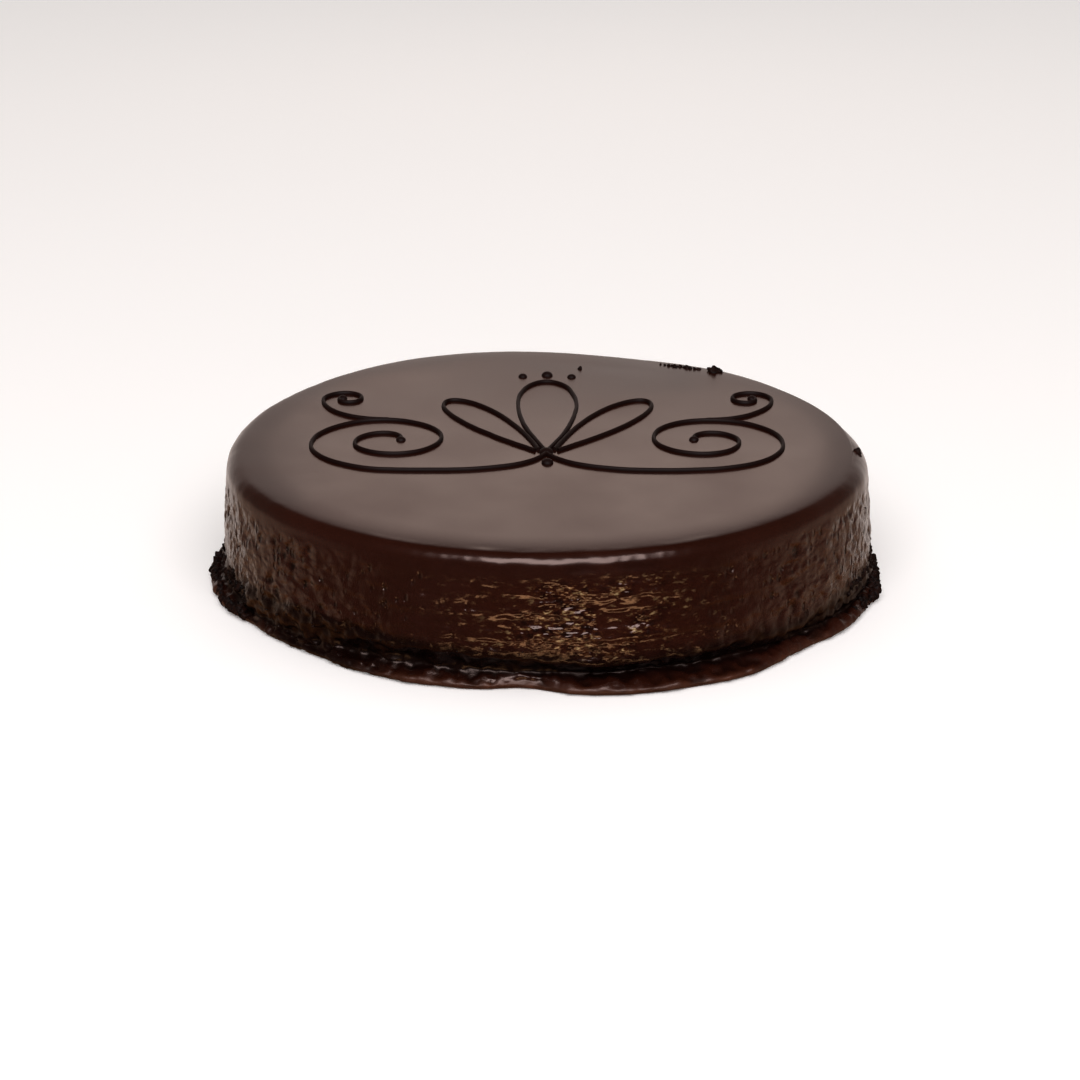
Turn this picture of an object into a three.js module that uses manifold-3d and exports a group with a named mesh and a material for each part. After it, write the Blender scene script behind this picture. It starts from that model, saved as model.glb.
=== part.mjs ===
// A chocolate torte under a thick poured glaze, as one solid: the body with its soft rim, the ragged
// lip and groove low on its side, the skirt of glaze that ran down and set round the foot, a scroll
// piped on the top, and the crumbs that stick to the glaze.
// Millimetres, +Z up. The origin is the middle of the flat base, and the front faces -Y.
import * as THREE from "three";
import { mergeVertices } from "three/addons/utils/BufferGeometryUtils.js";
import Module from "manifold-3d";

const wasm = await Module();
wasm.setup();

// Driving dimensions.
const TIN_DIAMETER = 240;
const GLAZE = 2; // thickness of the glaze on the side and the top
const HEIGHT = 52.4; // from the base to the flat of the top
const RIM_ROUNDING = 4.8; // radius of the soft edge where the glaze turns down
const RIM_SWING = 1; // how much softer the edge is at the left and right
const SKIRT = 6.5; // how far the run-down glaze stands out from the side
const SKIRT_HEIGHT = 3.5;
const GROOVE_HEIGHT = 7.6; // middle of the dark gap between the skirt and the lip
const LIP_HEIGHT = 12.6; // lower edge of the glaze on the side
const LIP_OVERHANG = 1.6;
const DOME = 0.4; // rise of the top from its edge to its middle
const BEAD = 2.2; // thickness of the piped line
const BEAD_SUNK = 0.5; // how far the line lies in the glaze
const BLOB = 3.8; // width of the drop where the bag was lifted
const LUMP = 8; // spacing of the lumps on the side
const LUMP_HEIGHT = 0.7;

const SIDE_RADIUS = TIN_DIAMETER / 2 + GLAZE;
const FOOT_RADIUS = SIDE_RADIUS + SKIRT;
const TOP_RADIUS = SIDE_RADIUS - RIM_ROUNDING;

const STEPS_ROUND = 104;
const BEAD_SIDES = 5;
const SEED = 41;
const TURN = 2 * Math.PI;

// Uneven rounds, each a sum of waves: height, number of waves round the torte, and phase.
const OUTLINE_WAVES = [
  [0.7, 0, 0],
  [-0.7, 2, 0.96],
  [-0.9, 3, 1.9],
  [0.2, 4, 0],
];
const SKIRT_WAVES = [
  [1.35, 5, 2.9],
  [0.5, 9, -0.95],
  [0.3, 17, 2.6],
];
const LIP_WAVES = [
  [0.5, 3, 0.8],
  [0.6, 5, 2.4],
  [0.5, 11, 0.2],
  [0.4, 19, 1.1],
];
// The groove is open at the front and the back, and choked with fallen glaze at the left and right.
const GROOVE_DEPTH = 0.6;
const GROOVE_SWING = 3.8;

// Single broad swells: height, direction in degrees, and how narrow they are.
const OUTLINE_SWELLS = [[-1.8, -32, 10]];
const TOP_SWELLS = [
  [-1.7, 74, 16],
  [0.6, 122, 14],
];
const ROUNDING_SWELLS = [[4.7, 18, 12]];
const LIP_SWELLS = [
  [1.6, -140, 2],
  [-1.6, -45, 3],
];
const SKIRT_SWELLS = [
  [3.7, -70, 16],
  [-6, -110, 4],
  [-5.6, -94, 160],
  [-5, -42, 60],
  [-1.2, -136, 40],
  [-2.4, 90, 4],
];

const GLAZE_FINISH = new THREE.MeshStandardMaterial({ color: "#2d1410", roughness: 0.28, metalness: 0 });

const degrees = THREE.MathUtils.degToRad;

function randomSource(seed) {
  let state = seed;
  return () => {
    state = (state * 1664525 + 1013904223) % 4294967296;
    return state / 4294967296;
  };
}

const random = randomSource(SEED);

function waves(list, angle) {
  return list.reduce((sum, [height, count, phase]) => sum + height * Math.cos(count * angle - phase), 0);
}

function swells(list, angle) {
  return list.reduce((sum, [height, direction, narrowness]) => {
    const facing = Math.max(0, Math.cos(angle - degrees(direction)));
    return sum + height * facing ** narrowness;
  }, 0);
}

// Lumps on the side: random heights on a lattice wrapped round the torte, joined by smooth steps.
const LATTICE_ROUND = Math.round((TURN * SIDE_RADIUS) / LUMP);
const LATTICE_UP = Math.ceil(HEIGHT / LUMP) + 2;
const lattice = Array.from({ length: LATTICE_ROUND }, () =>
  Array.from({ length: LATTICE_UP }, () => 2 * random() - 1),
);

function lumps(angle, height) {
  const along = (angle / TURN) * LATTICE_ROUND;
  const up = height / LUMP;
  const column = Math.floor(along);
  const level = Math.floor(up);
  const across = THREE.MathUtils.smoothstep(along - column, 0, 1);
  const rise = THREE.MathUtils.smoothstep(up - level, 0, 1);
  const here = lattice[column % LATTICE_ROUND];
  const next = lattice[(column + 1) % LATTICE_ROUND];
  const low = THREE.MathUtils.lerp(here[level], next[level], across);
  const high = THREE.MathUtils.lerp(here[level + 1], next[level + 1], across);
  return THREE.MathUtils.lerp(low, high, rise);
}

// One ring of the skin. The weights say how far it follows the skirt's waves, the groove, the lip's
// waves, the lumps and the swells of the top, and how many rounding radii it lies in and down from
// the sharp edge that the rim would have.
function ring(radius, height, weights = {}) {
  return { radius, height, skirt: 0, groove: 0, lip: 0, lumpy: 0, top: 0, inset: 0, fall: 0, ...weights };
}

function profile() {
  const side = SIDE_RADIUS + LIP_OVERHANG;
  const rings = [
    ring(0, 0),
    ring(FOOT_RADIUS - 2.6, 0, { skirt: 1 }),
    ring(FOOT_RADIUS - 0.9, 0.9, { skirt: 1, lumpy: 0.8 }),
    ring(FOOT_RADIUS, 0.6 * SKIRT_HEIGHT, { skirt: 1, lumpy: 0.8 }),
    ring(FOOT_RADIUS - 1.2, SKIRT_HEIGHT, { skirt: 1, lumpy: 0.8 }),
    ring(SIDE_RADIUS + 2.5, 4.6, { skirt: 0.6, groove: 0.3, lumpy: 0.8 }),
    ring(SIDE_RADIUS - 0.5, 5.6, { skirt: 0.2, groove: 0.8, lip: 0.3, lumpy: 0.7 }),
    ring(SIDE_RADIUS - 0.3, GROOVE_HEIGHT, { groove: 1, lip: 0.7, lumpy: 0.6 }),
    ring(SIDE_RADIUS + 0.6, 10, { groove: 0.5, lip: 0.9, lumpy: 1 }),
    ring(side, LIP_HEIGHT, { lip: 1, lumpy: 1 }),
    ring(side - 0.1, 16.5, { lip: 0.7, lumpy: 1 }),
    ring(side - 0.4, 23, { lumpy: 1, top: 0.2 }),
    ring(side - 0.7, 31, { lumpy: 1, top: 0.5 }),
    ring(SIDE_RADIUS + 0.3, 39, { lumpy: 0.4, top: 0.8 }),
  ];
  for (const turned of [0, 18, 38, 60, 90].map(degrees)) {
    const weights = { top: 1, inset: 1 - Math.cos(turned), fall: 1 - Math.sin(turned) };
    rings.push(ring(SIDE_RADIUS, HEIGHT, weights));
  }
  for (const part of [0.84, 0.45, 0]) {
    rings.push(ring(TOP_RADIUS * part, HEIGHT, { top: THREE.MathUtils.smoothstep(part, 0.5, 1) }));
  }
  return rings;
}

function outline(angle) {
  return waves(OUTLINE_WAVES, angle) + swells(OUTLINE_SWELLS, angle);
}

function rounding(angle) {
  const atSides = (1 + Math.cos(2 * angle)) / 2;
  return RIM_ROUNDING + RIM_SWING * atSides + swells(ROUNDING_SWELLS, angle);
}

function domeRise(radius) {
  return DOME * Math.max(0, 1 - (radius / TOP_RADIUS) ** 2);
}

function skinPoint(row, angle) {
  const groove = GROOVE_DEPTH - GROOVE_SWING * Math.cos(2 * angle);
  const uneven = outline(angle) * Math.min(1, row.radius / TOP_RADIUS);
  const bumps = LUMP_HEIGHT * row.lumpy * lumps(angle, row.height);
  const skirt = row.skirt * (waves(SKIRT_WAVES, angle) + swells(SKIRT_SWELLS, angle));
  const inset = row.inset * rounding(angle) + row.groove * groove;
  const radius = row.radius + uneven + bumps + skirt - inset;
  const lip = waves(LIP_WAVES, angle) + swells(LIP_SWELLS, angle);
  const lift = row.lip * lip + row.top * swells(TOP_SWELLS, angle);
  const dome = row.height < HEIGHT || row.fall > 0 ? 0 : domeRise(radius);
  const height = row.height + lift + dome - row.fall * rounding(angle);
  return [radius * Math.cos(angle), radius * Math.sin(angle), height];
}

// Height of the top, and of the rim where it falls away, over a point of the plan.
function topHeight(x, y) {
  const angle = Math.atan2(y, x);
  const radius = Math.hypot(x, y);
  const soft = rounding(angle);
  const past = THREE.MathUtils.clamp(radius - (SIDE_RADIUS + outline(angle) - soft), 0, soft);
  const fall = soft - Math.sqrt(soft ** 2 - past ** 2);
  const follow = THREE.MathUtils.smoothstep(radius / TOP_RADIUS, 0.5, 1);
  return HEIGHT + domeRise(radius) + follow * swells(TOP_SWELLS, angle) - fall;
}

function solid(geometry) {
  geometry.deleteAttribute("normal");
  geometry.deleteAttribute("uv");
  const merged = mergeVertices(geometry, 1e-3);
  return new wasm.Manifold(
    new wasm.Mesh({
      numProp: 3,
      vertProperties: merged.attributes.position.array,
      triVerts: new Uint32Array(merged.index.array),
    }),
  );
}

// The body: the profile turned round the axis, then every point moved to its uneven place.
function body() {
  const rings = profile();
  const turned = new THREE.LatheGeometry(
    rings.map((row) => new THREE.Vector2(row.radius, row.height)),
    STEPS_ROUND,
  );
  const places = turned.attributes.position;
  for (let i = 0; i < places.count; i++) {
    const step = Math.floor(i / rings.length) % STEPS_ROUND;
    places.setXYZ(i, ...skinPoint(rings[i % rings.length], (TURN * step) / STEPS_ROUND));
  }
  return solid(turned);
}

// Curves of the scroll, in the plane of the top: x to the right and y to the back. Each says into how
// many pieces the piped line is cut, so that tight turns get short ones.
const WIDE_TURN = 14; // degrees of a wide volute in one piece
const TIGHT_TURN = 24;
const WIDE = 20;

class Lead extends THREE.CubicBezierCurve {
  constructor(...corners) {
    super(...corners.map(([x, y]) => new THREE.Vector2(x, y)));
    this.pieces = 7;
  }
}

class Volute extends THREE.Curve {
  constructor(centre, outer, inner, start, sweep) {
    super();
    Object.assign(this, { centre, outer, inner, start: degrees(start), sweep: degrees(sweep) });
    this.pieces = Math.ceil(sweep / (outer > WIDE ? WIDE_TURN : TIGHT_TURN));
  }
  getPoint(t, target = new THREE.Vector2()) {
    const angle = this.start + this.sweep * t;
    const radius = this.outer + (this.inner - this.outer) * t ** 0.9;
    const [x, y] = this.centre;
    return target.set(x + radius * Math.cos(angle), y + radius * Math.sin(angle));
  }
}

// Half of a teardrop loop, from its foot to just past its tip, where the other half crosses it.
const PAST_TIP = 1.03;

class HalfPetal extends THREE.Curve {
  constructor(foot, lean, length, width) {
    super();
    Object.assign(this, { foot, lean: degrees(lean), length, width });
    this.pieces = 12;
  }
  getPoint(t, target = new THREE.Vector2()) {
    const turn = Math.PI * PAST_TIP * t;
    const side = 0.65 * this.width * Math.sin(turn) * Math.sin(turn / 2);
    const along = (this.length * (1 - Math.cos(turn))) / 2;
    const [x, y] = this.foot;
    target.set(side, along).rotateAround(new THREE.Vector2(), -this.lean);
    return target.set(target.x + x, target.y + y);
  }
}

// The piped line, laid on the top along one curve, or along a lead and the volute that it runs into.
class Stroke extends THREE.Curve {
  constructor(curves, mirror) {
    super();
    this.curves = curves;
    this.mirror = mirror;
    this.steps = curves.reduce((sum, curve) => sum + curve.pieces, 0);
  }
  getUtoTmapping(u) {
    return u;
  }
  getPoint(t, target = new THREE.Vector3()) {
    let [curve] = this.curves;
    let piece = t * this.steps;
    if (piece > curve.pieces) {
      piece -= curve.pieces;
      curve = this.curves.at(-1);
    }
    const { x, y } = curve.getPoint(piece / curve.pieces);
    return target.set(this.mirror * x, y, topHeight(x, y) + BEAD / 2 - BEAD_SUNK);
  }
}

// The right half of the scroll; the left half mirrors it.
const RIGHT_STROKES = [
  [new Lead([0, -16], [10, -36], [34, -36], [58, -34]), new Volute([61, 0], 34, 5, -93, 620)],
  [new Lead([62, 25], [77, 25], [89, 38], [89, 51]), new Volute([79.5, 51], 9.5, 2.4, 0, 400)],
  [new HalfPetal([0.6, -12], 0, 86, 23)],
  [new HalfPetal([4.4, -12.6], 30, 70, 16)],
  [new HalfPetal([3, -11.4], 30, 70, -16)],
];
// Drops of chocolate set beside the lines: x, y and width.
const DROPS = [
  [-10, 82, 3.6],
  [0, 84, 4.6],
  [10, 82, 3.6],
  [0, -26, 4.6],
  [0, -14, 5.4],
];

function bead(stroke) {
  const up = new THREE.Vector2(-BEAD / 2, 0);
  const corners = Array.from({ length: BEAD_SIDES }, (_, i) => {
    return up.clone().rotateAround(new THREE.Vector2(), (TURN * i) / BEAD_SIDES);
  });
  const section = new THREE.Shape(corners);
  return solid(new THREE.ExtrudeGeometry(section, { steps: stroke.steps, extrudePath: stroke }));
}

function drop(x, y, width) {
  const ball = new THREE.SphereGeometry(width / 2, 8, 5);
  ball.rotateX(Math.PI / 2).scale(1, 1, 0.75).translate(x, y, topHeight(x, y) + 0.1 * width);
  return solid(ball);
}

function scroll() {
  const pieces = DROPS.map(([x, y, width]) => drop(x, y, width));
  for (const mirror of [1, -1]) {
    for (const curves of RIGHT_STROKES) {
      const stroke = new Stroke(curves, mirror);
      const end = stroke.getPoint(1);
      pieces.push(bead(stroke));
      if (curves.length > 1) pieces.push(drop(end.x, end.y, BLOB));
    }
  }
  return pieces;
}

// Crumbs: rough little stones, each turned and stretched at random.
function crumb([x, y, z], size) {
  const stone = new THREE.IcosahedronGeometry(size / 2, 0);
  stone.scale(0.8 + 0.6 * random(), 0.8 + 0.4 * random(), 0.7 + 0.3 * random());
  stone.rotateX(TURN * random()).rotateZ(TURN * random()).translate(x, y, z);
  return solid(stone);
}

// Crumbs on the rim: direction in degrees, distance from the axis and size.
const RIM_CRUMBS = [
  [53.1, 115.6, 4.4],
  [55.2, 115.6, 3],
  [58.6, 113.6, 2.8],
  [60.6, 113.9, 2.4],
  [63.8, 114.2, 2.6],
  [65.6, 114.3, 2.2],
  [82, 96.7, 2],
  [-3.4, 120.9, 3.4],
];
// Crumbs piled on the choked groove.
const PILES = [-6, 188]; // direction of the middle of each pile, in degrees
const PILE_SPREAD = 26; // degrees round the foot that a pile takes
const PILE_CRUMBS = 9;
const PILE_LOW = 6;
const PILE_HIGH = 14;
const PILE_LEAN = 0.45; // how far a pile leans in for each millimetre up
const PILE_CRUMB = 3; // size of the smallest crumb in a pile
const PILE_CRUMB_SWING = 2;

function crumbs() {
  const onRim = RIM_CRUMBS.map(([direction, distance, size]) => {
    const x = distance * Math.cos(degrees(direction));
    const y = distance * Math.sin(degrees(direction));
    return crumb([x, y, topHeight(x, y) + 0.2 * size], size);
  });
  const inPiles = PILES.flatMap((middle) =>
    Array.from({ length: PILE_CRUMBS }, () => {
      const angle = degrees(middle + PILE_SPREAD * (random() - 0.5));
      const height = THREE.MathUtils.lerp(PILE_LOW, PILE_HIGH, random());
      const distance = FOOT_RADIUS - PILE_LEAN * height + outline(angle);
      const place = [distance * Math.cos(angle), distance * Math.sin(angle), height];
      return crumb(place, PILE_CRUMB + PILE_CRUMB_SWING * random());
    }),
  );
  return [...onRim, ...inPiles];
}

function mesh(name, made, material) {
  const { vertProperties, triVerts } = made.getMesh();
  const geometry = new THREE.BufferGeometry();
  geometry.setAttribute("position", new THREE.BufferAttribute(vertProperties, 3));
  geometry.setIndex(new THREE.BufferAttribute(triVerts, 1));
  geometry.computeVertexNormals();
  const result = new THREE.Mesh(geometry, material);
  result.name = name;
  return result;
}

const torte = [...scroll(), ...crumbs()].reduce((whole, piece) => whole.add(piece), body());

const part = new THREE.Group();
part.add(mesh("torte", torte, GLAZE_FINISH));

export default part;
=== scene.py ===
"""A chocolate torte under a thick poured glaze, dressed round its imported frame.

Metres, +Z up. The front faces -Y. Sizes are written in millimetres and turned to metres by MM.
"""
import math
import random

import bpy
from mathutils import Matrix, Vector


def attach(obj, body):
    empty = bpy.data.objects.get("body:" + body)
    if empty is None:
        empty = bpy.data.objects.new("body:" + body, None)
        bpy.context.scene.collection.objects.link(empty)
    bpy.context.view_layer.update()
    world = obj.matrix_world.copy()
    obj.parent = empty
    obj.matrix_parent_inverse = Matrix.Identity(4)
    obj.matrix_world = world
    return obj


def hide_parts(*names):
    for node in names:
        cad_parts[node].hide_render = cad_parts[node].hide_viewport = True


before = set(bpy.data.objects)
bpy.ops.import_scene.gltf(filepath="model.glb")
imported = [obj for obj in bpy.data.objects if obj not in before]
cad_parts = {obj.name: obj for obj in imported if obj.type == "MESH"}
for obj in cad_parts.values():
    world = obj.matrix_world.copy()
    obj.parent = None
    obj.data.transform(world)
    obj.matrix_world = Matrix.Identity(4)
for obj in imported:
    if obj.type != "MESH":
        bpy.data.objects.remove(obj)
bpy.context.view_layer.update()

MM = 0.001
TURN = 2 * math.pi
ROOT = "root"
NODE = "torte"
SEED = 41

# Driving dimensions, the same as the solid's.
TIN_DIAMETER = 240
GLAZE_THICKNESS = 2
HEIGHT = 52.4  # from the base to the flat of the top
RIM_ROUNDING = 4.8  # radius of the soft edge where the glaze turns down
RIM_SWING = 1  # how much softer the edge is at the left and right
SKIRT = 6.5  # how far the run-down glaze stands out from the side
SKIRT_HEIGHT = 3.5
GROOVE_HEIGHT = 7.6  # middle of the dark gap between the skirt and the lip
LIP_HEIGHT = 12.6  # lower edge of the glaze on the side
LIP_OVERHANG = 1.6
DOME = 0.4  # rise of the top from its edge to its middle
BEAD = 2.2  # thickness of the piped line
BEAD_SUNK = 0.5  # how far the line lies in the glaze
BLOB = 3.8  # width of the drop where the bag was lifted

SIDE_RADIUS = TIN_DIAMETER / 2 + GLAZE_THICKNESS
FOOT_RADIUS = SIDE_RADIUS + SKIRT
TOP_RADIUS = SIDE_RADIUS - RIM_ROUNDING

# Uneven rounds, each a sum of waves: height, number of waves round the torte, and phase.
OUTLINE_WAVES = [(0.7, 0, 0), (-0.7, 2, 0.96), (-0.9, 3, 1.9), (0.2, 4, 0)]
SKIRT_WAVES = [(1.35, 5, 2.9), (0.5, 9, -0.95), (0.3, 17, 2.6)]
LIP_WAVES = [(0.5, 3, 0.8), (0.6, 5, 2.4), (0.5, 11, 0.2), (0.4, 19, 1.1)]
# The groove is open at the front and the back, and choked with fallen glaze at the left and right.
GROOVE_DEPTH = 0.6
GROOVE_SWING = 3.8
# Single broad swells: height, direction in degrees, and how narrow they are.
OUTLINE_SWELLS = [(-1.8, -32, 10)]
TOP_SWELLS = [(-1.7, 74, 16), (0.6, 122, 14)]
ROUNDING_SWELLS = [(4.7, 18, 12)]
LIP_SWELLS = [(1.6, -140, 2), (-1.6, -45, 3)]
SKIRT_SWELLS = [
    (3.7, -70, 16),
    (-6, -110, 4),
    (-5.6, -94, 160),
    (-5, -42, 60),
    (-1.2, -136, 40),
    (-2.4, 90, 4),
]
# Where the spatula dragged the glaze, and where lumps of it are heaped.
FRONT_SWELL = [(1, -83, 7)]
HEAP_SWELL = [(1, -134, 26)]


def waves(rows, angle):
    return sum(height * math.cos(count * angle - phase) for height, count, phase in rows)


def swells(rows, angle):
    total = 0
    for height, direction, narrowness in rows:
        facing = max(0, math.cos(angle - math.radians(direction)))
        total += height * facing**narrowness
    return total


def smooth(low, high, value):
    """0 below low, 1 above high, and an even S between them."""
    part = min(1, max(0, (value - low) / (high - low)))
    return part * part * (3 - 2 * part)


def linear(code):
    """A colour written as sRGB hex, as the linear numbers that a shader takes."""
    parts = [int(code[i : i + 2], 16) / 255 for i in (1, 3, 5)]
    return [c / 12.92 if c <= 0.04045 else ((c + 0.055) / 1.055) ** 2.4 for c in parts] + [1]


def node(tree, kind, inputs=(), **settings):
    """Add a node. An input is a plain value, a socket, or a node whose first live output is meant."""
    made = tree.nodes.new(kind)
    for name, value in settings.items():
        setattr(made, name, value)
    for socket, value in dict(inputs).items():
        if isinstance(value, bpy.types.Node):
            value = next(output for output in value.outputs if output.enabled)
        if isinstance(value, bpy.types.NodeSocket):
            tree.links.new(value, made.inputs[socket])
        else:
            made.inputs[socket].default_value = value
    return made


def placed(name, data):
    thing = bpy.data.objects.new(name, data)
    bpy.context.scene.collection.objects.link(thing)
    return thing


# ---------------------------- growing a piece by Geometry Nodes

SOCKETS = {
    float: "NodeSocketFloat",
    int: "NodeSocketInt",
    bpy.types.Object: "NodeSocketObject",
    bpy.types.Material: "NodeSocketMaterial",
}


def grown(name, start, build, sizes):
    """Run a tree on a starting mesh, and keep what it makes as a plain mesh in a piece of its own.

    build(tree, given) fills the tree and returns its last node. given holds the tree's inputs by
    name: "Start", which is the starting mesh, and one for each of the sizes.
    """
    tree = bpy.data.node_groups.new(name, "GeometryNodeTree")
    tree.interface.new_socket("Result", in_out="OUTPUT", socket_type="NodeSocketGeometry")
    tree.interface.new_socket("Start", in_out="INPUT", socket_type="NodeSocketGeometry")
    identifiers = {}
    for label, value in sizes.items():
        kind = next(socket for made_of, socket in SOCKETS.items() if isinstance(value, made_of))
        identifiers[label] = tree.interface.new_socket(label, in_out="INPUT", socket_type=kind).identifier
    given = {output.name: output for output in tree.nodes.new("NodeGroupInput").outputs if output.name}
    whole = node(tree, "GeometryNodeSetShadeSmooth", {0: build(tree, given)})
    whole = node(tree, "GeometryNodeRealizeInstances", {0: whole})
    whole = node(tree, "GeometryNodeSetMaterial", {0: whole, "Material": given["Finish"]})
    node(tree, "NodeGroupOutput", {"Result": whole})

    holder = placed(name + ".start", start)
    modifier = holder.modifiers.new(name, "NODES")
    modifier.node_group = tree
    for label, identifier in identifiers.items():
        modifier[identifier] = sizes[label]
    depsgraph = bpy.context.evaluated_depsgraph_get()
    evaluated = holder.evaluated_get(depsgraph)
    mesh = bpy.data.meshes.new_from_object(evaluated, preserve_all_data_layers=True, depsgraph=depsgraph)
    mesh.name = name
    bpy.data.objects.remove(holder)
    return placed(name, mesh)


def start_mesh(name, points, edges, columns):
    """Points and edges to start a tree from, with what each point carries in named columns."""
    mesh = bpy.data.meshes.new(name)
    mesh.from_pydata(points, edges, [])
    for label, values in columns.items():
        if isinstance(values[0], tuple):
            layer = mesh.attributes.new(label, "FLOAT_VECTOR", "POINT")
            layer.data.foreach_set("vector", [part for value in values for part in value])
        else:
            layer = mesh.attributes.new(label, "FLOAT", "POINT")
            layer.data.foreach_set("value", values)
    return mesh


# ---------------------------- the body

COLUMNS = 760  # steps round the torte
ROWS_IN_A_SPAN = 4  # rows of faces between two rings of the section

# What a ring of the section carries. out: how far it follows the outline, the skirt's waves and the
# groove. up: how far it follows the lip's waves and the swells of the top. turn_in: how many rounding
# radii it lies in and down from the sharp edge that the rim would have. The rest are shares of 0 to 1
# or a little more: lumpy where glaze piled up, streaky where the spatula went round, pitted where the
# side shows small holes, rim and flat for the poured edge and top, thin where the glaze is a film at
# the foot, and a share for thick glaze where it lies thick and dark, a dark that in the groove under
# the lip is painted shade.
SHARES = ("lumpy", "streaky", "pitted", "rim", "flat", "thin", "pooled")
EDGE_ROLL = 0.45  # how far the flat of the top sinks before the rim
ROLL_START = 0.85  # share of the top's radius where it starts to sink
RIM_DROP = 1.3  # how much longer the rim's rounding is downwards than inwards
SIDE_FOOT = 17  # height above which the side follows the swells of the top
SIDE_HEIGHTS = (20, 23, 25.5, 28, 30.5, 33, 36, 39, 41.5, 44)
ROUGH_END = (41, 48)  # heights between which the lumps and pits die out below the rim
STREAKS_END = (38, 46)
SIDE_INSET = 0.1  # how far the side lies in from the lip
SIDE_LEANS = [(0.5, 18, 30), (0.8, 30, 42)]  # how far it draws in further, and between which heights
RIM_DEGREES = (0, 23, 46, 66, 80)  # how far the rim has turned over at each of its rings
TOP_PARTS = (0.985, 0.955, 0.915, 0.86, 0.68, 0.34, 0)  # of the top's radius
WELD = 0.002  # points closer than this become one


def ring(radius, height, skirt=0, groove=0, lip=0, top=0, turn_in=(0, 0), **shares):
    row = {
        "place": (radius, 0, height),
        "out": (min(1, radius / TOP_RADIUS), skirt, -groove),
        "up": (lip, top, 0),
        "turn_in": (*turn_in, 0),
    }
    row.update({label: float(shares.get(label, 0)) for label in SHARES})
    return row


def section():
    """The section from the foot up to the middle of the top."""
    side = SIDE_RADIUS + LIP_OVERHANG
    rings = [
        ring(FOOT_RADIUS - 3.4, 0, skirt=1, thin=1),
        ring(FOOT_RADIUS - 2.2, 0, skirt=1, thin=1),
        ring(FOOT_RADIUS - 0.9, 0.8, skirt=1, lumpy=0.5, thin=1),
        ring(FOOT_RADIUS, 0.6 * SKIRT_HEIGHT, skirt=1, lumpy=0.9, thin=1),
        ring(FOOT_RADIUS - 1.2, SKIRT_HEIGHT, skirt=1, lumpy=1.3, thin=0.2, pooled=0.1),
        ring(SIDE_RADIUS + 2.5, 4.6, skirt=0.6, groove=0.3, lumpy=1.6, pooled=0.3),
        # The groove under the lip: its dark share is thick glaze and painted shade.
        ring(SIDE_RADIUS - 0.5, 5.6, skirt=0.2, groove=0.8, lip=0.3, lumpy=1.7, pooled=1),
        ring(SIDE_RADIUS - 0.3, GROOVE_HEIGHT, groove=1, lip=0.7, lumpy=1.1, pooled=1),
        ring(SIDE_RADIUS + 0.6, 10, groove=0.5, lip=0.9, lumpy=1.1, streaky=0.1, pooled=1),
        ring(side, LIP_HEIGHT, lip=1, lumpy=1, streaky=0.5, pooled=0.85),
        ring(side - 0.1, 16.5, lip=0.7, lumpy=0.8, streaky=1, pitted=0.7, pooled=0.3),
    ]
    rim_foot = HEIGHT - RIM_DROP * RIM_ROUNDING
    for height in SIDE_HEIGHTS:
        rough = 1 - smooth(*ROUGH_END, height)
        streaky = 1 - smooth(*STREAKS_END, height)
        shares = {"lumpy": 0.35 * rough, "streaky": streaky, "pitted": rough, "rim": 1 - rough}
        inset = SIDE_INSET
        for depth, low, high in SIDE_LEANS:
            inset += depth * smooth(low, high, height)
        up = (height - SIDE_FOOT) / (rim_foot - SIDE_FOOT)
        level = height + up * RIM_DROP * RIM_ROUNDING
        rings.append(ring(side - inset, level, top=up, turn_in=(0, -RIM_DROP * up), **shares))
    for degrees in RIM_DEGREES:
        turned = math.radians(degrees)
        turn_in = (math.cos(turned) - 1, RIM_DROP * (math.sin(turned) - 1))
        level = HEIGHT - EDGE_ROLL * math.sin(turned)
        up = degrees / 90
        rings.append(ring(SIDE_RADIUS, level, top=1, turn_in=turn_in, rim=1 - up**4, flat=up**4))
    for part in TOP_PARTS:
        sunk = EDGE_ROLL * max(0, (part - ROLL_START) / (1 - ROLL_START)) ** 3
        level = HEIGHT + DOME * (1 - part**2) - sunk
        rings.append(ring(TOP_RADIUS * part, level, top=smooth(0.5, 1, part), flat=1))
    return rings


def outline(angle):
    return waves(OUTLINE_WAVES, angle) + swells(OUTLINE_SWELLS, angle)


def rounding(angle):
    at_sides = (1 + math.cos(2 * angle)) / 2
    return RIM_ROUNDING + RIM_SWING * at_sides + swells(ROUNDING_SWELLS, angle)


def round_step(angle):
    """What one step round the torte carries."""
    skirt = waves(SKIRT_WAVES, angle) + swells(SKIRT_SWELLS, angle)
    groove = GROOVE_DEPTH - GROOVE_SWING * math.cos(2 * angle)
    return {
        "facing": (math.cos(angle), math.sin(angle), 0),
        "out_round": (outline(angle), skirt, groove),
        "up_round": (waves(LIP_WAVES, angle) + swells(LIP_SWELLS, angle), swells(TOP_SWELLS, angle), 0),
        "soft": rounding(angle),
        "front": swells(FRONT_SWELL, angle),
        "heaped": swells(HEAP_SWELL, angle),
    }


# Relief of the glaze: what made it, its spacing and height in millimetres, how much closer it lies up
# the side than round it, and what says where it is. Spatula strokes show at the front, where the rim
# wavers too, and short runs down the side elsewhere.
RELIEF = [
    ("Lumps", 12.0, 0.8, 1.2, "lumpy"),
    ("Knobs", 5.0, 0.6, 1.0, "lumpy"),
    ("Grains", 2.8, 0.3, 1.0, "lumpy"),
    ("Strokes", 18.0, 0.42, 6.0, "brushed"),
    ("Fine strokes", 6.5, 0.22, 4.5, "brushed"),
    ("Runs", 6.0, 0.3, 0.8, "hanging"),
    ("Rim waver", 18.0, 0.55, 1.2, "wavering"),
    ("Rim ripple", 5.5, 0.2, 0.9, "wavering"),
    ("Slow swell", 46.0, 0.1, 1.0, "flat"),
]
LEAST_BRUSHED = 0.3  # how strong the strokes and the rim's waver are away from the front
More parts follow.
